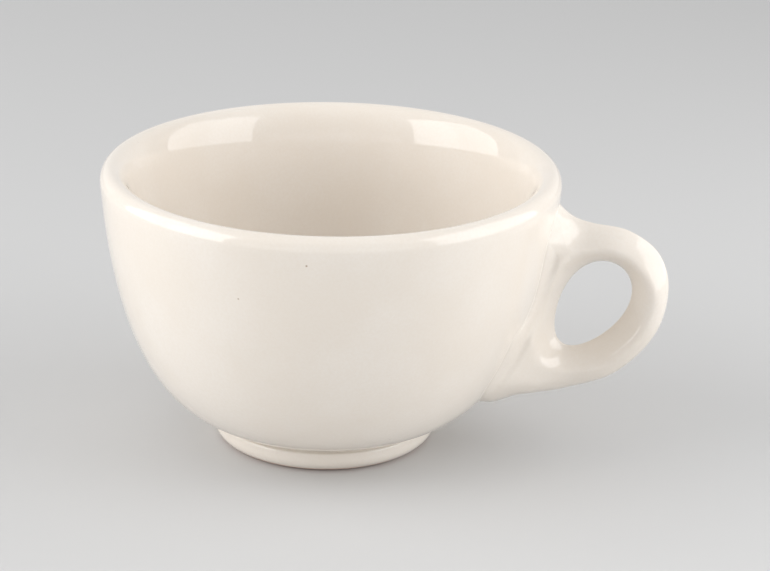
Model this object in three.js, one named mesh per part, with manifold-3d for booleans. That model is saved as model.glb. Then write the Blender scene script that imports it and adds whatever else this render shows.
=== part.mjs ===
// A thick-walled glazed stoneware coffee cup with a low foot and a one-finger ear handle.
// Millimetres, +Z up, the handle towards +X. The cup stands on z = 0.

import * as THREE from 'three';
import { mergeVertices } from 'three/addons/utils/BufferGeometryUtils.js';
import Module from 'manifold-3d';

const wasm = await Module();
wasm.setup();

// Bowl sizes
const CUP_HEIGHT = 67.6; // table to the top of the lip
const RIM_RADIUS = 54; // outside of the lip
const LIP_CREST = 2.5; // lip's highest line, in from its outside
const LIP_CROWN = 3.2; // height of the lip's rounding on the outside
const LIP_WIDTH = 7.6; // wall measured at the foot of the lip's inside rounding
const LIP_DEPTH = 8; // height of that inside rounding
const LIP_FULLNESS = 4.6; // how far the rounding holds the inside's lean
const BASE_RADIUS = 27.6; // flat seat under the bowl
const UNDERSIDE_REACH = 15.9; // how far the low flare leans out from the seat
const UNDERSIDE_RISE = 4.45; // how far that flare climbs
const SIDE_DRAFT = 1.9; // how far the upper side leans in below the lip
const SIDE_DEPTH = 30.3; // how far down from the lip the upper side runs
const FLOOR_THICKNESS = 5.6; // floor above the seat
const INSIDE_LEAN = 0.2; // how far the inside leans out for each millimetre up, below the lip
const INSIDE_DEPTH = 30; // how far down the inside holds that lean
const INSIDE_REACH = 44; // how far out the floor stays level before it turns up

// Foot sizes
const FOOT_HEIGHT = 6.7;
const FOOT_INSET = 0.3; // foot's widest line, in from the seat's edge
const FOOT_EDGE_RADIUS = 3.2; // rounded outer bottom edge
const FOOT_WIDTH = 6.8; // ring's width
const FOOT_CHAMFER = 1.2; // inner bottom edge
const NECK_HEIGHT = 1.6; // groove between foot and bowl
const NECK_DEPTH = 0.7;

// Handle sizes
const HOLE_STANDOFF = 12.3; // finger hole's centre, out from the bowl's side
const HOLE_DROP = 29.8; // finger hole's centre, below the top of the lip
const HOLE_LENGTH = 23.8;
const HOLE_WIDTH = 14.7;
const HOLE_TILT = 58.8; // degrees that the hole's long axis climbs from level
const HOLE_EGG = 0.19; // how much the hole widens towards its upper end
const GRIP_WIDTH = 9; // handle measured across, front to back
const EDGE_ROUNDING = 3.6; // rounded outer edge of the handle's section
const HOLE_ROUNDING = 5; // wider rounding round the finger hole
const COVE_SPREAD_TOP = 3.9; // hollow beside the handle's upper half, along the bowl
const COVE_SPREAD_TAIL = 10; // the same hollow beside the lower half
const COVE_DEPTH_TOP = 9.5; // hollow beside the upper half, out from the bowl
const COVE_DEPTH_TAIL = 19; // the same hollow beside the lower half
const COVE_TURN_HIGH = 8; // where the hollow starts to widen, up from the hole's centre
const COVE_TURN_LOW = -12; // where it has its full width
const ROOT_DEPTH = 4.4; // handle's uncut root, inside the bowl's side
const TAIL_RISE = 5.2; // handle's tail, above the bowl's seat

// Outer edge of the handle, as [out, up] from the hole's centre, from the top root round to the tail
const HANDLE_EDGE = [
  [-14.3, 23.2],
  [-8.6, 21.5],
  [-0.3, 20.1],
  [7.9, 19.0],
  [15.1, 14.0],
  [17.9, 5.2],
  [15.5, -6.1],
  [6.9, -16.2],
  [-4.6, -21.2],
  [-15.4, -23.6],
  [-23.4, -25.9],
  [-30.6, -25.9],
];

// Slip joint sizes
const SLIP_THICKNESS = 0.6;
const JOINT_GAP = 0.3; // clear space on each side of the slip

// Facets
const ROUND_STEPS = 64; // around the cup
const SIDE_STEPS = 14; // along the bowl's outside and inside
const LIP_STEPS = 6; // along each half of the lip
const FOOT_EDGE_STEPS = 4;
const EDGE_STEPS = 40; // along the handle's outer edge
const ROOT_STEPS = 24; // along the handle's root
const SECTION_STEPS = 14; // across the handle, from hole to outer edge
const HOLE_STEPS = 72;
const COVE_PASSES = 24; // halvings that settle the hollow's width
const SLIP_ROWS = 24; // along the slip, from tail to top
const SLIP_COLUMNS = 8; // across the slip

// Heights and radii that follow from the sizes
const LIP_BASE = CUP_HEIGHT - LIP_CROWN;
const FLOOR_TOP = FOOT_HEIGHT + FLOOR_THICKNESS;
const FOOT_RADIUS = BASE_RADIUS - FOOT_INSET;

// Materials
function glaze(color, roughness) {
  return new THREE.MeshStandardMaterial({ color, roughness, metalness: 0 });
}

// Outside of the bowl, from the seat's edge up to the lip
const outsideCurve = new THREE.CubicBezierCurve(
  new THREE.Vector2(BASE_RADIUS, FOOT_HEIGHT),
  new THREE.Vector2(BASE_RADIUS + UNDERSIDE_REACH, FOOT_HEIGHT + UNDERSIDE_RISE),
  new THREE.Vector2(RIM_RADIUS - SIDE_DRAFT, LIP_BASE - SIDE_DEPTH),
  new THREE.Vector2(RIM_RADIUS, LIP_BASE),
);

// Inside of the bowl, from the middle of the floor up to the lip's rounding
const insideTop = new THREE.Vector2(RIM_RADIUS - LIP_WIDTH, CUP_HEIGHT - LIP_DEPTH);
const insideCurve = new THREE.CubicBezierCurve(
  new THREE.Vector2(0, FLOOR_TOP),
  new THREE.Vector2(INSIDE_REACH, FLOOR_TOP),
  new THREE.Vector2(insideTop.x - INSIDE_LEAN * INSIDE_DEPTH, insideTop.y - INSIDE_DEPTH),
  insideTop,
);

// Lip, from its outside up to its highest line and then down to the inside
const lipTop = new THREE.Vector2(RIM_RADIUS - LIP_CREST, CUP_HEIGHT);
const lipOutside = new THREE.EllipseCurve(lipTop.x, LIP_BASE, LIP_CREST, LIP_CROWN, 0, Math.PI / 2);
const lipInside = new THREE.CubicBezierCurve(
  lipTop,
  new THREE.Vector2(lipTop.x - LIP_CREST, CUP_HEIGHT),
  new THREE.Vector2(insideTop.x + INSIDE_LEAN * LIP_FULLNESS, insideTop.y + LIP_FULLNESS),
  insideTop,
);

const outsidePoints = outsideCurve.getPoints(SIDE_STEPS);

// Radius of the bowl's outside at a height
function bowlRadius(height) {
  const above = outsidePoints.findIndex((point) => point.y >= height);
  const high = above < 0 ? SIDE_STEPS : Math.max(above, 1);
  const low = outsidePoints[high - 1];
  const side = outsidePoints[high].clone().sub(low);
  return low.x + (side.x * (height - low.y)) / side.y;
}

// Solid of revolution about +Z from an outline of [radius, height] points
function turned(outline) {
  const geometry = new THREE.LatheGeometry(outline, ROUND_STEPS);
  geometry.rotateX(Math.PI / 2);
  return geometry;
}

function bowlGeometry() {
  const seat = new THREE.Vector2(0, FOOT_HEIGHT);
  const lip = [...lipOutside.getPoints(LIP_STEPS), ...lipInside.getPoints(LIP_STEPS).slice(1)];
  const inside = insideCurve.getPoints(SIDE_STEPS).reverse();
  return turned([seat, ...outsidePoints, ...lip.slice(1, -1), ...inside]);
}

function footGeometry() {
  const bore = FOOT_RADIUS - FOOT_WIDTH;
  const neck = FOOT_RADIUS - NECK_DEPTH;
  const outline = new THREE.Path();
  outline.moveTo(bore + FOOT_CHAMFER, 0);
  outline.lineTo(FOOT_RADIUS - FOOT_EDGE_RADIUS, 0);
  outline.absarc(FOOT_RADIUS - FOOT_EDGE_RADIUS, FOOT_EDGE_RADIUS, FOOT_EDGE_RADIUS, -Math.PI / 2, 0);
  outline.lineTo(FOOT_RADIUS, FOOT_HEIGHT - NECK_HEIGHT);
  outline.lineTo(neck, FOOT_HEIGHT - NECK_HEIGHT + NECK_DEPTH);
  outline.lineTo(neck, FOOT_HEIGHT);
  outline.lineTo(bore, FOOT_HEIGHT);
  outline.lineTo(bore, FOOT_CHAMFER);
  outline.closePath();
  return turned(outline.getPoints(FOOT_EDGE_STEPS));
}

// Centre of the finger hole, in the handle's own plane
const holeHeight = CUP_HEIGHT - HOLE_DROP;
const holeCentre = new THREE.Vector2(bowlRadius(holeHeight) + HOLE_STANDOFF, holeHeight);

// Egg-shaped edge of the finger hole
function holeOutline() {
  const tilt = THREE.MathUtils.degToRad(HOLE_TILT);
  const points = [];
  for (let i = 0; i < HOLE_STEPS; i += 1) {
    const turn = (2 * Math.PI * i) / HOLE_STEPS;
    const along = Math.cos(turn);
    const across = Math.sin(turn) * (1 + HOLE_EGG * along);
    const point = new THREE.Vector2((along * HOLE_LENGTH) / 2, (across * HOLE_WIDTH) / 2);
    points.push(point.rotateAround(new THREE.Vector2(), tilt).add(holeCentre));
  }
  return points;
}

// Free outer edge of the handle, then its root, which runs inside the bowl's side
function outerOutline() {
  const lowest = HANDLE_EDGE.at(-1)[1];
  const stretch = (FOOT_HEIGHT + TAIL_RISE - holeCentre.y) / lowest;
  const edge = new THREE.SplineCurve(
    HANDLE_EDGE.map(([out, up]) => {
      return new THREE.Vector2(out, up < 0 ? up * stretch : up).add(holeCentre);
    }),
  );
  const free = edge.getSpacedPoints(EDGE_STEPS);
  const top = free[0];
  const tail = free[EDGE_STEPS];
  const root = [];
  for (let i = 1; i < ROOT_STEPS; i += 1) {
    const height = tail.y + ((top.y - tail.y) * i) / ROOT_STEPS;
    root.push(new THREE.Vector2(bowlRadius(height) - ROOT_DEPTH, height));
  }
  return [...free, ...root];
}

// Where a ray from the hole's centre towards a point crosses an outline round that centre
function crossing(outline, towards) {
  const ray = towards.clone().sub(holeCentre);
  for (let i = 0; i < outline.length; i += 1) {
    const a = outline[i].clone().sub(holeCentre);
    const b = outline[(i + 1) % outline.length].clone().sub(holeCentre);
    const side = b.clone().sub(a);
    const spread = ray.cross(side);
    const reach = a.cross(side) / spread;
    const share = a.cross(ray) / spread;
    if (reach > 0 && share >= 0 && share < 1) {
      return holeCentre.clone().addScaledVector(ray, reach);
    }
  }
  return holeCentre.clone();
}

// Shortest distance from a point to a closed outline
function distanceTo(outline, point) {
  let nearest = Infinity;
  for (let i = 0; i < outline.length; i += 1) {
    const a = outline[i];
    const side = outline[(i + 1) % outline.length].clone().sub(a);
    const offset = point.clone().sub(a);
    const share = THREE.MathUtils.clamp(offset.dot(side) / side.lengthSq(), 0, 1);
    nearest = Math.min(nearest, offset.addScaledVector(side, -share).length());
  }
  return nearest;
}

// Quarter-round rise from 0 at an edge to 1 at the rounding's depth
function rounded(distance, depth) {
  const rest = 1 - Math.min(distance / depth, 1);
  return Math.sqrt(1 - rest * rest);
}

// Extra half width of the hollow that runs from the handle's side out to the bowl
function cove(height, clear) {
  const low = holeCentre.y + COVE_TURN_LOW;
  const high = holeCentre.y + COVE_TURN_HIGH;
  const climb = THREE.MathUtils.smoothstep(height, low, high);
  const spread = THREE.MathUtils.lerp(COVE_SPREAD_TAIL, COVE_SPREAD_TOP, climb);
  const depth = THREE.MathUtils.lerp(COVE_DEPTH_TAIL, COVE_DEPTH_TOP, climb);
  const rest = 1 - THREE.MathUtils.clamp(clear / depth, 0, 1);
  return spread * rest * rest;
}

// Half width of the handle at a point of its plane, found by halving, since the hollow depends on it
function halfWidth(point, hole, outer) {
  const inner = rounded(distanceTo(hole, point), HOLE_ROUNDING);
  const edge = inner * rounded(distanceTo(outer, point), EDGE_ROUNDING);
  let narrow = 0;
  let wide = GRIP_WIDTH / 2 + COVE_SPREAD_TOP + COVE_SPREAD_TAIL;
  for (let pass = 0; pass < COVE_PASSES; pass += 1) {
    const half = (narrow + wide) / 2;
    const clear = Math.hypot(point.x, half) - bowlRadius(point.y);
    if (half < (GRIP_WIDTH / 2 + cove(point.y, clear)) * edge) {
      narrow = half;
    } else {
      wide = half;
    }
  }
  return narrow;
}

// Closed skin over a row of equal rings of points, which may itself close on its first ring
function lofted(rings, closed) {
  const ringSize = rings[0].length;
  const spans = closed ? rings.length : rings.length - 1;
  const indices = [];
  for (let k = 0; k < spans; k += 1) {
    const here = k * ringSize;
    const there = ((k + 1) % rings.length) * ringSize;
    for (let i = 0; i < ringSize; i += 1) {
      const next = (i + 1) % ringSize;
      indices.push(here + i, there + i, here + next);
      indices.push(there + i, there + next, here + next);
    }
  }
  const geometry = new THREE.BufferGeometry().setFromPoints(rings.flat());
  geometry.setIndex(indices);
  return geometry;
}

// Handle before its root is cut: rings of points that run from the hole's edge to the outer edge and back
function uncutHandleGeometry() {
  const hole = holeOutline();
  const outer = outerOutline();
  const rings = outer.map((outerPoint) => {
    const innerPoint = crossing(hole, outerPoint);
    const ring = [];
    for (let i = 0; i < 2 * SECTION_STEPS; i += 1) {
      const share = (1 - Math.cos((Math.PI * i) / SECTION_STEPS)) / 2;
      const point = innerPoint.clone().lerp(outerPoint, share);
      const atEdge = i % SECTION_STEPS === 0;
      const half = atEdge ? 0 : halfWidth(point, hole, outer);
      ring.push(new THREE.Vector3(point.x, i < SECTION_STEPS ? -half : half, point.y));
    }
    return ring;
  });
  return lofted(rings, true);
}

// Height at which the handle's free edge, followed from one of its ends, comes out of the bowl's side
function landing(edge) {
  const clear = edge.map((point) => point.x - bowlRadius(point.y));
  const out = clear.findIndex((distance) => distance > 0);
  const share = clear[out] / (clear[out] - clear[out - 1]);
  return THREE.MathUtils.lerp(edge[out].y, edge[out - 1].y, share);
}

// Row of points across the bowl's side at a height, held off it by a distance square to the side
function sideRow(height, half, distance) {
  const slope = (bowlRadius(height + 1) - bowlRadius(height - 1)) / 2;
  const radius = bowlRadius(height) + distance * Math.hypot(1, slope);
  const row = [];
  for (let i = 0; i <= SLIP_COLUMNS; i += 1) {
    const y = half * ((2 * i) / SLIP_COLUMNS - 1);
    row.push(new THREE.Vector3(Math.sqrt(radius * radius - y * y), y, height));
  }
  return row;
}

// Bed of slip along the handle's root, from the tail to the top, as wide as the handle is there
function slipGeometry() {
  const outer = outerOutline();
  const free = outer.slice(0, EDGE_STEPS + 1);
  const high = landing(free);
  const low = landing(free.reverse());
  const rings = [];
  for (let i = 0; i <= SLIP_ROWS; i += 1) {
    const share = (1 - Math.cos((Math.PI * i) / SLIP_ROWS)) / 2;
    const height = THREE.MathUtils.lerp(low, high, share);
    const seat = new THREE.Vector2(bowlRadius(height), height);
    const edge = rounded(distanceTo(outer, seat), EDGE_ROUNDING);
    const atEnd = i % SLIP_ROWS === 0;
    const half = atEnd ? 0 : (GRIP_WIDTH / 2 + cove(height, JOINT_GAP + SLIP_THICKNESS / 2)) * edge;
    const back = sideRow(height, half, JOINT_GAP);
    const front = sideRow(height, half, JOINT_GAP + SLIP_THICKNESS);
    rings.push([...back, ...front.reverse()]);
  }
  return lofted(rings, false);
}

// The bowl's outside as a full solid, grown by a distance all round
function grownBowlGeometry(growth) {
  const side = outsidePoints.map((point, i) => {
    const tangent = outsideCurve.getTangent(i / SIDE_STEPS);
    return new THREE.Vector2(point.x + tangent.y * growth, point.y - tangent.x * growth);
  });
  const seat = new THREE.Vector2(0, side[0].y);
  const top = new THREE.Vector2(0, side[SIDE_STEPS].y);
  return turned([seat, ...side, top]);
}

// Closed geometry as a solid that can be cut
function solidOf(geometry) {
  const bare = geometry.clone();
  bare.deleteAttribute('normal');
  bare.deleteAttribute('uv');
  const merged = mergeVertices(bare);
  const corners = merged.index.array;
  const triangles = [];
  for (let i = 0; i < corners.length; i += 3) {
    const [a, b, c] = corners.slice(i, i + 3);
    if (a !== b && b !== c && c !== a) {
      triangles.push(a, b, c);
    }
  }
  const mesh = new wasm.Mesh({
    numProp: 3,
    vertProperties: new Float32Array(merged.attributes.position.array),
    triVerts: new Uint32Array(triangles),
  });
  return new wasm.Manifold(mesh);
}

function geometryOf(solid) {
  const mesh = solid.getMesh();
  const geometry = new THREE.BufferGeometry();
  geometry.setAttribute('position', new THREE.BufferAttribute(mesh.vertProperties, 3));
  geometry.setIndex(new THREE.BufferAttribute(mesh.triVerts, 1));
  geometry.computeVertexNormals();
  return geometry;
}

// The handle's root is cut to the bowl's side, with room for the bed of slip between them
const uncutHandle = solidOf(uncutHandleGeometry());
const handleSeat = solidOf(grownBowlGeometry(JOINT_GAP + SLIP_THICKNESS + JOINT_GAP));
const handleSolid = uncutHandle.subtract(handleSeat);
const slipSolid = solidOf(slipGeometry());

function named(name, geometry, material) {
  const mesh = new THREE.Mesh(geometry, material);
  mesh.name = name;
  return mesh;
}

const cup = new THREE.Group();
cup.add(named('bowl', bowlGeometry(), glaze(0xeee6da, 0.22)));
cup.add(named('foot_ring', footGeometry(), glaze(0xe6dccd, 0.3)));
cup.add(named('handle', geometryOf(handleSolid), glaze(0xeee6da, 0.22)));
cup.add(named('handle_slip_joint', geometryOf(slipSolid), glaze(0xdfd5c6, 0.4)));

// The origin lies under the middle of the cup's outline, with the cup standing on z = 0
const middle = new THREE.Box3().setFromObject(cup).getCenter(new THREE.Vector3());
cup.position.set(-middle.x, 0, 0);

export default cup;
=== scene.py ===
import math

import bmesh
import bpy
import numpy as np
from mathutils import Matrix, Vector


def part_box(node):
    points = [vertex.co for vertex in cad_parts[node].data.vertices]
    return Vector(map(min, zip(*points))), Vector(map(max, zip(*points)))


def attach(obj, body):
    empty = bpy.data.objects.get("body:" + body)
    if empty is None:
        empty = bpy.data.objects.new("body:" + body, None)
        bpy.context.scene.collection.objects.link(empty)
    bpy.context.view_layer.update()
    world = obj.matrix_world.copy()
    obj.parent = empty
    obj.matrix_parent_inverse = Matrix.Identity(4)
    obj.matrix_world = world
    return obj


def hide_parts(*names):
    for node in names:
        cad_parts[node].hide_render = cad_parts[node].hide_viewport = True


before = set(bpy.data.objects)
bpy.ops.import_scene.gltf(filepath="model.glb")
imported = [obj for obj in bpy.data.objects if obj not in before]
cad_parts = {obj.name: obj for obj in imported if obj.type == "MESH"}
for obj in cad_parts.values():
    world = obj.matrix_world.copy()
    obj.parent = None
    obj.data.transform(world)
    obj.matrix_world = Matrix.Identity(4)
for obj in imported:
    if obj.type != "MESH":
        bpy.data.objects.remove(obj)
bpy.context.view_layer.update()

# Lengths of the cup are in millimetres from its axis and the table, as in the CAD model
MM = 0.001
bowl_low, bowl_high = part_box("bowl")
AXIS_X = (bowl_low.x + bowl_high.x) / 2

# Camera at the photograph's view; angles in degrees
IMAGE_WIDTH = 770
FOCAL_PIXELS = 2504.9
SENSOR_WIDTH = 36.0
CAMERA_AT = (93.62, -549.08, 246.15)
CAMERA_HEADING = -9.659
CAMERA_PITCH = 20.454
CAMERA_ROLL = 1.221
CAMERA_NEAR = 0.01  # metres
CAMERA_FAR = 20

# Bowl
CUP_HEIGHT = 67.6
LEAN = 1.0  # how far the foot stands away from the handle, under a rim that stays in its place
LEAN_FADE = 3  # power with which the lean fades towards the rim
LIP_BASE = 64.4
LIP_TOP = 51.5  # radius of the lip's highest line
LIP_CREST = 2.5  # from that line to the outside
FOOT_HEIGHT = 6.7
FLOOR_TOP = 12.3
SEAT_RADII = (0, 12, 24, 27.2)
OUTSIDE = ((27.6, FOOT_HEIGHT), (43.5, 11.15), (52.1, 34.1), (54.0, LIP_BASE))
INSIDE = ((0.0, FLOOR_TOP), (44.0, FLOOR_TOP), (40.4, 29.6), (46.4, 59.6))
LIP_INSIDE = ((46.4, 59.6), (47.32, 64.2), (49.0, CUP_HEIGHT), (LIP_TOP, CUP_HEIGHT))

# Foot
FOOT_RADIUS = 26.75
FOOT_EDGE = (3.9, 3.5)  # width and height of the rounded outer bottom edge
FOOT_INSIDE = 20.5
FOOT_INNER_ROUND = 1.3
FLAT_MIDDLE = 22.5
FOOT_SEAT_MIDDLE = 23.5
FOOT_INSIDE_HEIGHTS = (2.4, 4.0, 5.4)
# Groove under the bowl, fine bead and second groove, down to the foot's wall
FOOT_NECK = (
    (25.4, FOOT_HEIGHT), (25.45, 6.45), (26.15, 6.25), (26.34, 6.05), (26.24, 5.82), (25.95, 5.58),
    (26.1, 5.36), (26.46, 5.16), (26.64, 4.85), (26.72, 4.4), (FOOT_RADIUS, 3.7),
)

# Handle: finger hole and sections
HOLE_CENTRE = (62.33, 37.8)
HOLE_LENGTH = 23.8
HOLE_WIDTH = 14.7
HOLE_TILT = math.radians(58.8)
HOLE_EGG = 0.19  # how much the hole widens towards its upper end
GRIP_WIDTH = 10.4
WIDEST_HALF = 22.0  # more than any half width of the handle
EMBED = 5.2  # how far the root runs on inside the bowl's side

# Bevel round the hole: its depth, and a power that is lower where it is flatter
LOOP_BEVEL = 6.0
WEB_BEVEL = 4.6
ARM_BEVEL = 4.8
LOOP_BEVEL_POWER = 1.3
WEB_BEVEL_POWER = 1.35
ARM_BEVEL_POWER = 1.35

# Rounding of the outer edge, in the same terms
EDGE_ROUNDING = 5.0
ARM_EDGE_ROUNDING = 6.0
ROOT_EDGE_ROUNDING = 9.0
EDGE_POWER = 2.0
ARM_EDGE_POWER = 1.35
EDGE_FULLNESS = 0.75  # extra rounding for each millimetre of half width past the next value
EDGE_FULL_FROM = 8.0

# Root on the bowl: pad, valley with a flute beside it, and flare from the valley out to the grip
ROOT_REACH = 8
FLARE_REACH_TAIL = 16.0
FLARE_REACH_ARM = 6.2
FLARE_POWER = 1.9
PAD_SLOPE = 1.5
PAD_FADE = 0.8
VALLEY_OUT = 1.5  # valley's distance out from the bowl
VALLEY_OUT_MORE = 0.5  # and how much more that is at the top
FLUTE_TOP = 54.5
FLUTE_FADE = 2.5
FLUTE_DEPTH = 0.6
UPPER_FLUTE_DEPTH = 1.1
FLUTE_WIDTH = 0.8

# Heights between which the handle turns from its tail's shape to its arm's
VALLEY_TURN = (44, 52)
PAD_TURN = (41, 46)
FLARE_TURN = (18, 46)
FLUTE_TURN = (28, 36)
ARM_TURN = (40, 51)

# Part of the web with level bevels: distances from the hole's centre towards the bowl, and heights
WEB_SIDE = (-5, 4)
LEVEL_SIDE = (-1, 4)
LEVEL_START = (30, 34)
LEVEL_END = (42, 47.5)

# Half widths of the pad's edge on the bowl and of the valley beside it, each at a height
PAD_HALF = ((33.8, 16.3), (36.4, 11.6), (41.0, 9.7), (45.0, 9.7))
VALLEY_HALF = (
    (20.0, 14.7), (28.0, 11.6), (32.0, 10.7), (35.4, 9.7), (40.0, 8.5), (46.0, 8.2), (54.0, 8.2),
)
HALF_SMOOTHING = 1.5
# Outer edge in the handle's plane, from the top root round to the tail, from the hole's centre
HANDLE_EDGE = (
    (-9.4, 25.7), (-8.0, 23.4), (-5.0, 21.4), (-0.3, 20.2), (7.9, 19.0), (15.1, 14.0), (17.9, 5.2),
    (15.5, -6.1), (6.9, -16.2), (-4.6, -21.1), (-10.5, -22.5), (-15.4, -23.25), (-18.0, -24.25),
    (-20.3, -25.1), (-22.3, -25.3), (-24.3, -25.0), (-27.0, -24.3), (-29.5, -23.5),
)

# Slip: the fine bead that was squeezed out round the handle's pad
BEAD_WIDTH = 0.6
BEAD_HEIGHT = 0.11
BEAD_SINK = 0.05
BEAD_TOP_SINK = 0.3  # further sinking where the bead fades out below the rim
BEAD_TOP_TURN = (50, 57)
BEAD_INSET = 0.05
SLOPE_STEP = 0.5

# Fineness of the meshes
ROUND_STEPS = 192
OUTSIDE_STEPS = 48
LIP_STEPS = 14
LIP_INSIDE_STEPS = 22
INSIDE_STEPS = 44
NECK_STEPS = 60
FOOT_EDGE_STEPS = 22
FOOT_INNER_STEPS = 8
SPLINE_STEPS = 60
OUTSIDE_LINE_STEPS = 400
HOLE_LINE_STEPS = 241
EDGE_LINE_STEPS = 420
FREE_STEPS = 200
ROOT_STEPS = 102
SECTION_STEPS = 34
SMOOTHING_STEPS = 7
HALVINGS = 30
DISTANCE_BATCH = 4000
SEAM_ROWS = 160
SEAM_STEPS = 360
BEAD_STEPS = 10
WELD = 2e-6  # metres within which points are joined
SLIVER = 1e-6  # metres within which faces are dropped
ON_LINE = 1e-9
ON_CHORD = 1e-6

# Glaze and clay
CREAM = (0.80, 0.738, 0.665)
CREAM_WARM = (0.765, 0.685, 0.59)
CREAM_PALE = (0.82, 0.765, 0.70)
SPECK = (0.36, 0.25, 0.16)
BARE_CLAY = (0.66, 0.44, 0.34)
BARE_CLAY_PALE = (0.66, 0.50, 0.41)
# Colour of the painted shade in the neck groove under the bowl
NECK_PAINTED_SHADE = (0.52, 0.465, 0.385)
NOISE_SPREAD = (0.3, 0.7)
SOFT_DETAIL, FINE_DETAIL = 2, 3
MOTTLE_SCALE, MOTTLE_SPREAD = 45, (0.35, 0.65)
GRAIN_SCALE, GRAIN_SHARE = 1500, 0.22
SPECK_SCALE, SPECK_SHARE = 130, 0.75
SPECK_CHANCE = (0.9, 0.94)
SPECK_SIZE = (0.018, 0.045)
GLOSS_SCALE, GLOSS_ROUGHNESS = 220, (0.035, 0.08)
RIPPLE_SCALE, RIPPLE_STRENGTH, RIPPLE_HEIGHT = 260, 0.12, 0.0001
GLAZE_IOR = 1.52
CLAY_SCALE, CLAY_ROUGHNESS = 900, 0.6
BARE_BELOW = 0.95 * MM
BARE_FADE = 1.45  # times that height, where the glaze is whole
WANDER_SCALE, WANDER_SHARE = 160, 0.5
# Painted shade in the neck groove: height above which the foot is darkened, the span over which it comes in,
# and how much
PAINTED_SHADE_ABOVE, PAINTED_SHADE_SPAN, PAINTED_SHADE_SHARE = 5.2 * MM, 0.5 * MM, 0.6

# Floor and light; lengths in metres
FLOOR_HALF = 3
FLOOR_GREY = (0.6, 0.6, 0.6, 1)
FLOOR_ROUGHNESS = 0.9
WORLD_WHITE = (1, 1, 1, 1)
WORLD_STRENGTH = 0.57
# Name, place to the camera's right, towards the camera and up, direction, width, height, brightness
PANELS = (
    ("softbox_right", 0.45, 0.214, 0.32, (-1, 0, 0), 0.3, 0.61, 2.55),
    ("softbox_right_rear", 0.45, -0.069, 0.3, (-1, 0, 0), 0.264, 0.57, 2.0),
    ("softbox_left", -0.75, 0.386, 0.5, (1, 0, 0), 0.51, 0.94, 3.25),
    ("softbox_left_rear", -0.75, -0.085, 0.5, (1, 0, 0), 0.435, 0.94, 2.35),
    ("backdrop", 0, -0.95, 0.6, (0, 1, 0), 2.2, 1.15, 0.25),
    ("front_card", 0, 0.8, 0.13, (0, -1, 0), 1.4, 0.24, 0.65),
)


# Small geometry helpers

def bezier(points, count):
    """Points along a cubic curve."""
    p = np.array(points, float)
    t = np.linspace(0, 1, count)[:, None]
    s = 1 - t
    return s**3 * p[0] + 3 * s**2 * t * p[1] + 3 * s * t**2 * p[2] + t**3 * p[3]


def run_along(line):
    """Length run from a line's start to each of its points."""
    return np.concatenate([[0], np.cumsum(np.linalg.norm(np.diff(line, axis=0), axis=1))])


def spline(points, count):
    """Points evenly spaced along a smooth curve through the given ones."""
    p = np.array(points, float)
    padded = np.vstack([p[:1], p, p[-1:]])
    t = np.linspace(0, 1, SPLINE_STEPS, endpoint=False)[:, None]
    curve = []
    for i in range(len(p) - 1):
        p0, p1, p2, p3 = padded[i:i + 4]
        v0, v1 = (p2 - p0) / 2, (p3 - p1) / 2
        cubic = 2 * p1 - 2 * p2 + v0 + v1
        square = 3 * p2 - 3 * p1 - 2 * v0 - v1
        curve.append(cubic * t**3 + square * t**2 + v0 * t + p1)
    curve = np.vstack(curve + [p[-1:]])
    run = run_along(curve)
    at = np.linspace(0, run[-1], count)
    return np.column_stack([np.interp(at, run, curve[:, 0]), np.interp(at, run, curve[:, 1])])


def arc(centre, radius, start, end, count):
    """Points along part of a circle, angles in degrees."""
    a = np.radians(np.linspace(start, end, count))
    return np.column_stack([centre[0] + radius * np.cos(a), centre[1] + radius * np.sin(a)])


def smoothstep(x, low, high):
    """Smooth rise from 0 at low to 1 at high."""
    t = np.clip((x - low) / (high - low), 0, 1)
    return t * t * (3 - 2 * t)


def between(a, b, share):
    """Value that goes from a to b with share."""
    return a + (b - a) * share


def eased(count):
    """Shares from 0 to 1 that lie closer together at both ends."""
    return (1 - np.cos(np.linspace(0, math.pi, count))) / 2


def ring_faces(rings, size, spans):
    """Faces between rings of points, the last ring joined to the first."""
    faces = []
    for k in range(rings):
        here, there = k * size, ((k + 1) % rings) * size
        for i in range(spans):
            j = (i + 1) % size
            faces.append((here + i, there + i, there + j, here + j))
    return faces


def lathe(profile, closed):
    """Points and faces of a profile turned about the cup's axis."""
    profile = np.asarray(profile, float)
    count = len(profile)
    turn = np.linspace(0, 2 * math.pi, ROUND_STEPS, endpoint=False)
    points = np.stack([
        np.outer(np.cos(turn), profile[:, 0]),
        np.outer(np.sin(turn), profile[:, 0]),
        np.outer(np.ones(ROUND_STEPS), profile[:, 1]),
    ], axis=-1).reshape(-1, 3)
    return points, ring_faces(ROUND_STEPS, count, count if closed else count - 1)


def new_piece(name, mesh_parts, node, material):
    """A smooth mesh object from points in millimetres round the cup's axis, standing for a CAD node."""
    points, faces = mesh_parts
    placed = np.array(points, float)
    placed[:, 0] -= LEAN * (1 - placed[:, 2] / CUP_HEIGHT) ** LEAN_FADE
    placed = placed * MM + np.array([AXIS_X, 0, 0])
    mesh = bpy.data.meshes.new(name)
    mesh.from_pydata(placed.tolist(), [], faces)
    made = bmesh.new()
    made.from_mesh(mesh)
    bmesh.ops.remove_doubles(made, verts=made.verts, dist=WELD)
    bmesh.ops.dissolve_degenerate(made, edges=made.edges, dist=SLIVER)
    bmesh.ops.recalc_face_normals(made, faces=made.faces)
    made.to_mesh(mesh)
    made.free()
    mesh.polygons.foreach_set("use_smooth", [True] * len(mesh.polygons))
    mesh.materials.append(material)
    piece = bpy.data.objects.new(name, mesh)
    bpy.context.scene.collection.objects.link(piece)
    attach(piece, "root")
    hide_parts(node)


# Materials

def new_material(name):
    """A material with its node tree and an unset shader."""
    material = bpy.data.materials.new(name)
    material.use_nodes = True
    tree = material.node_tree
    tree.nodes.clear()
    output = tree.nodes.new("ShaderNodeOutputMaterial")
    shader = tree.nodes.new("ShaderNodeBsdfPrincipled")
    tree.links.new(shader.outputs["BSDF"], output.inputs["Surface"])
    return material, tree, shader


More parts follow.
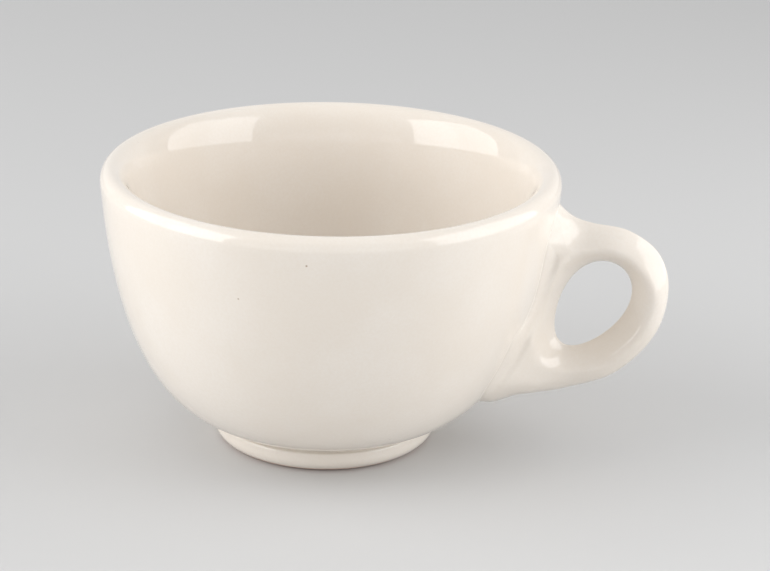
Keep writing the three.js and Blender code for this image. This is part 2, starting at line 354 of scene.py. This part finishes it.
def noise(tree, coords, scale, detail):
    """Soft noise from 0 to 1; scale is in features for each metre."""
    node = tree.nodes.new("ShaderNodeTexNoise")
    node.inputs["Scale"].default_value = scale
    node.inputs["Detail"].default_value = detail
    tree.links.new(coords, node.inputs["Vector"])
    return node.outputs["Fac"]


def ramp(tree, value, low, high, to_low=0.0, to_high=1.0):
    """Smooth step of a value from one range to another."""
    node = tree.nodes.new("ShaderNodeMapRange")
    node.interpolation_type = "SMOOTHSTEP"
    node.inputs["From Min"].default_value = low
    node.inputs["From Max"].default_value = high
    node.inputs["To Min"].default_value = to_low
    node.inputs["To Max"].default_value = to_high
    tree.links.new(value, node.inputs["Value"])
    return node.outputs["Result"]


def mix(tree, share, a, b):
    """Colour that goes from a to b with share; each is a socket or a colour."""
    node = tree.nodes.new("ShaderNodeMix")
    node.data_type = "RGBA"
    tree.links.new(share, node.inputs["Factor"])
    for key, value in (("A", a), ("B", b)):
        socket = [s for s in node.inputs if s.name == key and s.type == "RGBA"][0]
        if isinstance(value, tuple):
            socket.default_value = (*value, 1)
        else:
            tree.links.new(value, socket)
    return [s for s in node.outputs if s.type == "RGBA"][0]


def math_node(tree, operation, a, b):
    """Sum or product of two values; each is a socket or a number."""
    node = tree.nodes.new("ShaderNodeMath")
    node.operation = operation
    for i, value in enumerate((a, b)):
        if isinstance(value, (int, float)):
            node.inputs[i].default_value = value
        else:
            tree.links.new(value, node.inputs[i])
    return node.outputs[0]


def speck_share(tree, coords):
    """Share of iron speck: a small dot in a few of the cells."""
    cells = tree.nodes.new("ShaderNodeTexVoronoi")
    cells.inputs["Scale"].default_value = SPECK_SCALE
    tree.links.new(coords, cells.inputs["Vector"])
    chance = tree.nodes.new("ShaderNodeSeparateColor")
    tree.links.new(cells.outputs["Color"], chance.inputs["Color"])
    rare = ramp(tree, chance.outputs["Red"], *SPECK_CHANCE)
    spot = ramp(tree, cells.outputs["Distance"], *SPECK_SIZE, 1.0, 0.0)
    return math_node(tree, "MULTIPLY", math_node(tree, "MULTIPLY", rare, spot), SPECK_SHARE)


def foot_finish(tree, coords, colour, gloss):
    """Colour and roughness of the foot: bare clay at the table, and painted shade darkening the neck groove
    under the bowl.
    """
    split = tree.nodes.new("ShaderNodeSeparateXYZ")
    tree.links.new(coords, split.inputs["Vector"])
    wander = noise(tree, coords, WANDER_SCALE, FINE_DETAIL)
    wander = math_node(tree, "MULTIPLY", wander, WANDER_SHARE * BARE_BELOW)
    height = math_node(tree, "ADD", split.outputs["Z"], wander)
    bare = ramp(tree, height, BARE_BELOW, BARE_FADE * BARE_BELOW, 1.0, 0.0)
    clay = ramp(tree, noise(tree, coords, CLAY_SCALE, FINE_DETAIL), *NOISE_SPREAD)
    colour = mix(tree, bare, colour, mix(tree, clay, BARE_CLAY, BARE_CLAY_PALE))
    # Painted shade: the foot is darkened in the neck groove just under the bowl
    top = PAINTED_SHADE_ABOVE + PAINTED_SHADE_SPAN
    painted_shade = ramp(tree, split.outputs["Z"], PAINTED_SHADE_ABOVE, top, 0.0, PAINTED_SHADE_SHARE)
    colour = mix(tree, painted_shade, colour, NECK_PAINTED_SHADE)
    return colour, math_node(tree, "ADD", gloss, math_node(tree, "MULTIPLY", bare, CLAY_ROUGHNESS))


def glaze_material(name, on_foot=False):
    """Cream glaze with soft mottling, fine grain, rare iron specks and a slightly rippled gloss."""
    material, tree, shader = new_material(name)
    coords = tree.nodes.new("ShaderNodeTexCoord").outputs["Object"]

    cloud = ramp(tree, noise(tree, coords, MOTTLE_SCALE, FINE_DETAIL), *MOTTLE_SPREAD)
    grain = ramp(tree, noise(tree, coords, GRAIN_SCALE, SOFT_DETAIL), *NOISE_SPREAD)
    colour = mix(tree, cloud, CREAM, CREAM_PALE)
    colour = mix(tree, math_node(tree, "MULTIPLY", grain, GRAIN_SHARE), colour, CREAM_WARM)
    colour = mix(tree, speck_share(tree, coords), colour, SPECK)
    gloss = ramp(tree, noise(tree, coords, GLOSS_SCALE, FINE_DETAIL), *NOISE_SPREAD, *GLOSS_ROUGHNESS)
    if on_foot:
        colour, gloss = foot_finish(tree, coords, colour, gloss)
    tree.links.new(colour, shader.inputs["Base Color"])
    tree.links.new(gloss, shader.inputs["Roughness"])
    shader.inputs["IOR"].default_value = GLAZE_IOR

    bump = tree.nodes.new("ShaderNodeBump")
    bump.inputs["Strength"].default_value = RIPPLE_STRENGTH
    bump.inputs["Distance"].default_value = RIPPLE_HEIGHT
    tree.links.new(noise(tree, coords, RIPPLE_SCALE, SOFT_DETAIL), bump.inputs["Height"])
    tree.links.new(bump.outputs["Normal"], shader.inputs["Normal"])
    return material


cream_glaze = glaze_material("cream_glaze")
foot_glaze = glaze_material("foot_glaze", on_foot=True)
slip_glaze = glaze_material("slip_glaze")


# Bowl: seat, outside, lip and inside in one turned skin

def bowl_profile():
    """Radius and height from the middle of the seat up the outside, over the lip and down to the floor."""
    seat = [(radius, FOOT_HEIGHT) for radius in SEAT_RADII]
    turn = np.linspace(0, math.pi / 2, LIP_STEPS)
    lip_outside = np.column_stack([
        LIP_TOP + LIP_CREST * np.cos(turn),
        LIP_BASE + (CUP_HEIGHT - LIP_BASE) * np.sin(turn),
    ])
    return np.vstack([
        seat,
        bezier(OUTSIDE, OUTSIDE_STEPS),
        lip_outside[1:],
        bezier(LIP_INSIDE, LIP_INSIDE_STEPS)[::-1][1:],
        bezier(INSIDE, INSIDE_STEPS)[::-1][1:],
    ])


new_piece("cup_bowl", lathe(bowl_profile(), closed=False), "bowl", cream_glaze)


# Foot: neck groove, bead, wall, rounded standing ring and hollow underside

def foot_profile():
    """Closed section of the ring, from its seat's inner edge outwards and down."""
    edge_width, edge_height = FOOT_EDGE
    edge = arc((0, 0), 1, 0, -90, FOOT_EDGE_STEPS) * FOOT_EDGE + (FOOT_RADIUS - edge_width, edge_height)
    inner_centre = (FOOT_INSIDE + FOOT_INNER_ROUND, FOOT_INNER_ROUND)
    return np.vstack([
        [(FOOT_INSIDE, FOOT_HEIGHT), (FOOT_SEAT_MIDDLE, FOOT_HEIGHT)],
        spline(FOOT_NECK, NECK_STEPS),
        edge,
        [(FLAT_MIDDLE, 0.0)],
        arc(inner_centre, FOOT_INNER_ROUND, -90, -180, FOOT_INNER_STEPS),
        [(FOOT_INSIDE, height) for height in FOOT_INSIDE_HEIGHTS],
    ])


new_piece("cup_foot", lathe(foot_profile(), closed=True), "foot_ring", foot_glaze)


# Handle: a loop described by its half width at each point of the upright plane through it

outside_line = bezier(OUTSIDE, OUTSIDE_LINE_STEPS)


def bowl_radius(height):
    """Radius of the bowl's outside at a height."""
    return np.interp(height, outside_line[:, 1], outside_line[:, 0])


def distance_to(line, points):
    """Shortest distance from each point to an open line."""
    a, b = line[:-1], line[1:]
    side = b - a
    length2 = (side**2).sum(1)
    nearest = np.empty(len(points))
    for part in range(0, len(points), DISTANCE_BATCH):
        offset = points[part:part + DISTANCE_BATCH, None, :] - a[None]
        share = np.clip((offset * side).sum(2) / length2, 0, 1)
        gap = np.linalg.norm(offset - share[:, :, None] * side, axis=2)
        nearest[part:part + DISTANCE_BATCH] = gap.min(1)
    return nearest


def rounded(distance, radius, power):
    """Share of full width at a distance from an edge: a quarter round at power 2, nearer a bevel below it."""
    rest = 1 - np.clip(distance / radius, 0, 1)
    return (1 - rest**power) ** (1 / power)


def hole_curve():
    """Closed outline of the finger hole."""
    turn = np.linspace(0, 2 * math.pi, HOLE_LINE_STEPS)
    along = np.cos(turn) * HOLE_LENGTH / 2
    across = np.sin(turn) * (1 + HOLE_EGG * np.cos(turn)) * HOLE_WIDTH / 2
    return np.column_stack([
        HOLE_CENTRE[0] + along * math.cos(HOLE_TILT) - across * math.sin(HOLE_TILT),
        HOLE_CENTRE[1] + along * math.sin(HOLE_TILT) + across * math.cos(HOLE_TILT),
    ])


hole_line = hole_curve()
edge_line = spline(np.array(HANDLE_EDGE) + HOLE_CENTRE, EDGE_LINE_STEPS)


def bowl_side_of_hole():
    """The hole's edge on the bowl's side, from its lowest point up to its highest."""
    x, z = hole_line.T
    low, high = hole_line[z.argmin()], hole_line[z.argmax()]
    chord = low[0] + (z - low[1]) * (high[0] - low[0]) / (high[1] - low[1])
    side = hole_line[x <= chord + ON_CHORD]
    return side[side[:, 1].argsort()]


bowl_side_edge = bowl_side_of_hole()


def level_distance(plane_points):
    """Level distance from points on the bowl's side to the hole's edge on that side."""
    edge = np.interp(plane_points[:, 1], bowl_side_edge[:, 1], bowl_side_edge[:, 0])
    return np.maximum(edge - plane_points[:, 0], 0)


def smooth_through(table, height):
    """Smoothed value at a height of half widths given at a few heights."""
    shifts = np.linspace(-HALF_SMOOTHING, HALF_SMOOTHING, SMOOTHING_STEPS)
    heights, halves = np.array(table).T
    return np.mean([np.interp(height + shift, heights, halves) for shift in shifts], axis=0)


def side_half_width(height, clear):
    """Half width of the handle at a height and a distance out from the bowl, before its edges are rounded."""
    valley_at = VALLEY_OUT + VALLEY_OUT_MORE * smoothstep(height, *VALLEY_TURN)
    valley = smooth_through(VALLEY_HALF, height)
    tail_pad = (1 - np.clip(clear / valley_at, 0, 1)) ** PAD_SLOPE
    arm_pad = np.exp(-np.maximum(clear, 0) / PAD_FADE)
    pad_share = between(tail_pad, arm_pad, smoothstep(height, *PAD_TURN))
    pad = (smooth_through(PAD_HALF, height) - valley) * pad_share
    reach = between(FLARE_REACH_TAIL, FLARE_REACH_ARM, smoothstep(height, *FLARE_TURN))
    out = np.clip((clear - valley_at) / reach, 0, 1)
    flare = (valley - GRIP_WIDTH / 2) * (1 - out) ** FLARE_POWER
    depth = between(FLUTE_DEPTH, UPPER_FLUTE_DEPTH, smoothstep(height, *FLUTE_TURN))
    depth = depth * (1 - smoothstep(height, FLUTE_TOP - FLUTE_FADE, FLUTE_TOP + FLUTE_FADE))
    flute = depth * np.exp(-((clear - valley_at) / FLUTE_WIDTH) ** 2)
    return GRIP_WIDTH / 2 + flare + pad - flute


def arm_share(height):
    """How much a point belongs to the handle's upper arm."""
    return smoothstep(height, *ARM_TURN)


def root_share(clear):
    """How much a point belongs to the handle's root on the bowl."""
    return 1 - smoothstep(clear, 0, ROOT_REACH)


def hole_bevel(plane_points):
    """Share of full width beside the hole, which is bevelled: level on the bowl's side, round elsewhere."""
    z = plane_points[:, 1]
    towards_bowl = HOLE_CENTRE[0] - plane_points[:, 0]
    web = smoothstep(towards_bowl, *WEB_SIDE)
    arm = arm_share(z)
    depth = between(between(LOOP_BEVEL, WEB_BEVEL, web), ARM_BEVEL, arm)
    power = between(between(LOOP_BEVEL_POWER, WEB_BEVEL_POWER, web), ARM_BEVEL_POWER, arm)
    level = smoothstep(towards_bowl, *LEVEL_SIDE) * smoothstep(z, *LEVEL_START)
    level = level * (1 - smoothstep(z, *LEVEL_END))
    distance = between(distance_to(hole_line, plane_points), level_distance(plane_points), level)
    return rounded(distance, depth, power)


def edge_rounding(height, half, clear):
    """The outer edge is rounded more on the upper arm, at its root and where the handle is wider."""
    arm = between(ARM_EDGE_ROUNDING, ROOT_EDGE_ROUNDING, root_share(clear))
    extra = EDGE_FULLNESS * np.maximum(half - EDGE_FULL_FROM, 0)
    return between(EDGE_ROUNDING, arm, arm_share(height)) + extra * (1 - arm_share(height))


def edge_power(height, clear):
    """The upper arm's top is nearer a bevel than the round edges of the loop and the root."""
    return between(EDGE_POWER, ARM_EDGE_POWER, arm_share(height) * (1 - root_share(clear)))


def widest(holds, count):
    """Largest half widths for which holds is still true, found by halving."""
    narrow = np.zeros(count)
    wide = np.full(count, WIDEST_HALF)
    for _ in range(HALVINGS):
        half = (narrow + wide) / 2
        inside = holds(half)
        narrow = np.where(inside, half, narrow)
        wide = np.where(inside, wide, half)
    return narrow


def half_width(plane_points):
    """Half width of the handle at points of its plane."""
    x, z = plane_points.T
    from_edge = distance_to(edge_line, plane_points)
    bevel = hole_bevel(plane_points)

    def holds(half):
        clear = np.hypot(x, half) - bowl_radius(z)
        full = side_half_width(z, clear)
        edge = rounded(from_edge, edge_rounding(z, full, clear), edge_power(z, clear))
        return half < full * bevel * edge

    return widest(holds, len(plane_points))


def handle_outline():
    """Free edge of the handle from the top root to the tail, then its root a little inside the bowl."""
    clear = edge_line[:, 0] - (bowl_radius(edge_line[:, 1]) - EMBED)
    out = np.flatnonzero(clear > 0)
    free = edge_line[out[0]:out[-1] + 1]
    free = free[np.linspace(0, len(free) - 1, FREE_STEPS).round().astype(int)]
    heights = np.linspace(free[-1, 1], free[0, 1], ROOT_STEPS)[1:-1]
    root = np.column_stack([bowl_radius(heights) - EMBED, heights])
    return np.vstack([free, root])


def hole_point(towards):
    """Where the line from the hole's centre to a point leaves the hole."""
    ray = towards - np.array(HOLE_CENTRE)
    a = hole_line[:-1] - HOLE_CENTRE
    side = hole_line[1:] - hole_line[:-1]
    spread = ray[0] * side[:, 1] - ray[1] * side[:, 0]
    reach = (a[:, 0] * side[:, 1] - a[:, 1] * side[:, 0]) / spread
    share = (a[:, 0] * ray[1] - a[:, 1] * ray[0]) / spread
    found = np.flatnonzero((reach > 0) & (share >= -ON_LINE) & (share < 1 + ON_LINE))[0]
    return np.array(HOLE_CENTRE) + ray * reach[found]


def handle_mesh():
    """Rings of points from the hole's edge out to the outline on the front and back again."""
    outline = handle_outline()
    count, columns = len(outline), SECTION_STEPS + 1
    share = eased(columns)[:, None]
    plane = np.vstack([between(hole_point(point), point, share) for point in outline])
    half = half_width(plane).reshape(count, columns)
    half[:, 0] = 0
    plane = plane.reshape(count, columns, 2)
    front = np.dstack([plane[:, :, 0], -half, plane[:, :, 1]])
    back = np.dstack([plane[:, :, 0], half, plane[:, :, 1]])[:, ::-1]
    rings = np.concatenate([front, back], axis=1)
    return rings.reshape(-1, 3), ring_faces(count, 2 * columns, 2 * columns)


new_piece("cup_handle", handle_mesh(), "handle", cream_glaze)


# Slip: a bead on the bowl along the pad's edge

def seam_half_width(heights):
    """Half width of the pad's edge on the bowl, rounded off at the top root and the tail."""
    radius = bowl_radius(heights)
    full = smooth_through(PAD_HALF, heights)
    rounding, power = edge_rounding(heights, full, 0.0), edge_power(heights, 0.0)

    def holds(half):
        plane = np.column_stack([np.sqrt(radius**2 - half**2), heights])
        return half < full * rounded(distance_to(edge_line, plane), rounding, power)

    return widest(holds, len(heights))


def seam_line():
    """Evenly spaced points of the pad's edge, as distances across the handle and heights."""
    clear = edge_line[:, 0] - bowl_radius(edge_line[:, 1])
    out = np.flatnonzero(clear > 0)
    top, tail = edge_line[out[0], 1] - BEAD_INSET, edge_line[out[-1], 1] + BEAD_INSET
    heights = between(top, tail, eased(SEAM_ROWS))
    half = seam_half_width(heights)
    front = np.column_stack([-half, heights])
    back = np.column_stack([half, heights])[::-1]
    closed = np.vstack([front, back, front[:1]])
    run = run_along(closed)
    at = np.linspace(0, run[-1], SEAM_STEPS, endpoint=False)
    return np.interp(at, run, closed[:, 0]), np.interp(at, run, closed[:, 1])


def seam_mesh():
    """The bead, a flat oval in section, half sunk in the bowl's side."""
    y, z = seam_line()
    radius = bowl_radius(z)
    centre = np.column_stack([np.sqrt(radius**2 - y**2), y, z])
    slope = (bowl_radius(z + SLOPE_STEP) - bowl_radius(z - SLOPE_STEP)) / (2 * SLOPE_STEP)
    normal = np.column_stack([centre[:, 0] / radius, centre[:, 1] / radius, -slope])
    normal /= np.linalg.norm(normal, axis=1)[:, None]
    sink = BEAD_SINK + BEAD_TOP_SINK * smoothstep(z, *BEAD_TOP_TURN)
    centre -= normal * sink[:, None]
    tangent = np.roll(centre, -1, axis=0) - np.roll(centre, 1, axis=0)
    tangent /= np.linalg.norm(tangent, axis=1)[:, None]
    side = np.cross(tangent, normal)
    turn = np.linspace(0, 2 * math.pi, BEAD_STEPS, endpoint=False)
    rings = np.stack([
        centre + BEAD_WIDTH * math.cos(a) * side + BEAD_HEIGHT * math.sin(a) * normal for a in turn
    ], axis=1)
    return rings.reshape(-1, 3), ring_faces(SEAM_STEPS, BEAD_STEPS, BEAD_STEPS)


new_piece("handle_slip_bead", seam_mesh(), "handle_slip_joint", slip_glaze)


# Camera

def turned_frame(heading, pitch, roll):
    """Right, up and forward directions of a camera."""
    h, p, r = math.radians(heading), math.radians(pitch), math.radians(roll)
    forward = Vector((math.sin(h) * math.cos(p), math.cos(h) * math.cos(p), -math.sin(p)))
    right = forward.cross(Vector((0, 0, 1))).normalized()
    up = right.cross(forward)
    return right * math.cos(r) + up * math.sin(r), up * math.cos(r) - right * math.sin(r), forward


camera_data = bpy.data.cameras.new("camera")
camera_data.sensor_width = SENSOR_WIDTH
camera_data.lens = FOCAL_PIXELS * SENSOR_WIDTH / IMAGE_WIDTH
camera_data.clip_start = CAMERA_NEAR
camera_data.clip_end = CAMERA_FAR
camera = bpy.data.objects.new("camera", camera_data)
bpy.context.scene.collection.objects.link(camera)
right, up, forward = turned_frame(CAMERA_HEADING, CAMERA_PITCH, CAMERA_ROLL)
turned = Matrix((right, up, -forward)).transposed().to_4x4()
camera.matrix_world = Matrix.Translation(Vector(CAMERA_AT) * MM) @ turned
bpy.context.scene.camera = camera


# Floor

floor_material, _, floor_shader = new_material("floor")
floor_shader.inputs["Base Color"].default_value = FLOOR_GREY
floor_shader.inputs["Roughness"].default_value = FLOOR_ROUGHNESS
floor_mesh = bpy.data.meshes.new("floor")
floor_corners = [(x * FLOOR_HALF, y * FLOOR_HALF, 0) for x, y in ((-1, -1), (1, -1), (1, 1), (-1, 1))]
floor_mesh.from_pydata(floor_corners, [], [(0, 1, 2, 3)])
floor_mesh.materials.append(floor_material)
floor = bpy.data.objects.new("floor", floor_mesh)
bpy.context.scene.collection.objects.link(floor)


# Light

def panel(name, across, towards, up_by, facing, width, height, radiance):
    """Area light; across and towards are to the camera's right and towards the camera from the cup."""
    turn = math.radians(-CAMERA_HEADING)
    side = Vector((math.cos(turn), math.sin(turn), 0))
    near = Vector((math.sin(turn), -math.cos(turn), 0))
    data = bpy.data.lights.new(name, "AREA")
    data.shape = "RECTANGLE"
    data.size, data.size_y = width, height
    data.energy = radiance * math.pi * width * height
    light = bpy.data.objects.new(name, data)
    light.location = Vector((AXIS_X, 0, up_by)) + side * across + near * towards
    looks = side * facing[0] + near * facing[1] + Vector((0, 0, facing[2]))
    light.rotation_euler = looks.to_track_quat("-Z", "Y").to_euler()
    bpy.context.scene.collection.objects.link(light)


for row in PANELS:
    panel(*row)

world = bpy.data.worlds.new("world")
world.use_nodes = True
background = world.node_tree.nodes["Background"]
background.inputs["Color"].default_value = WORLD_WHITE
background.inputs["Strength"].default_value = WORLD_STRENGTH
bpy.context.scene.world = world
bpy.context.scene.view_settings.view_transform = "Standard"
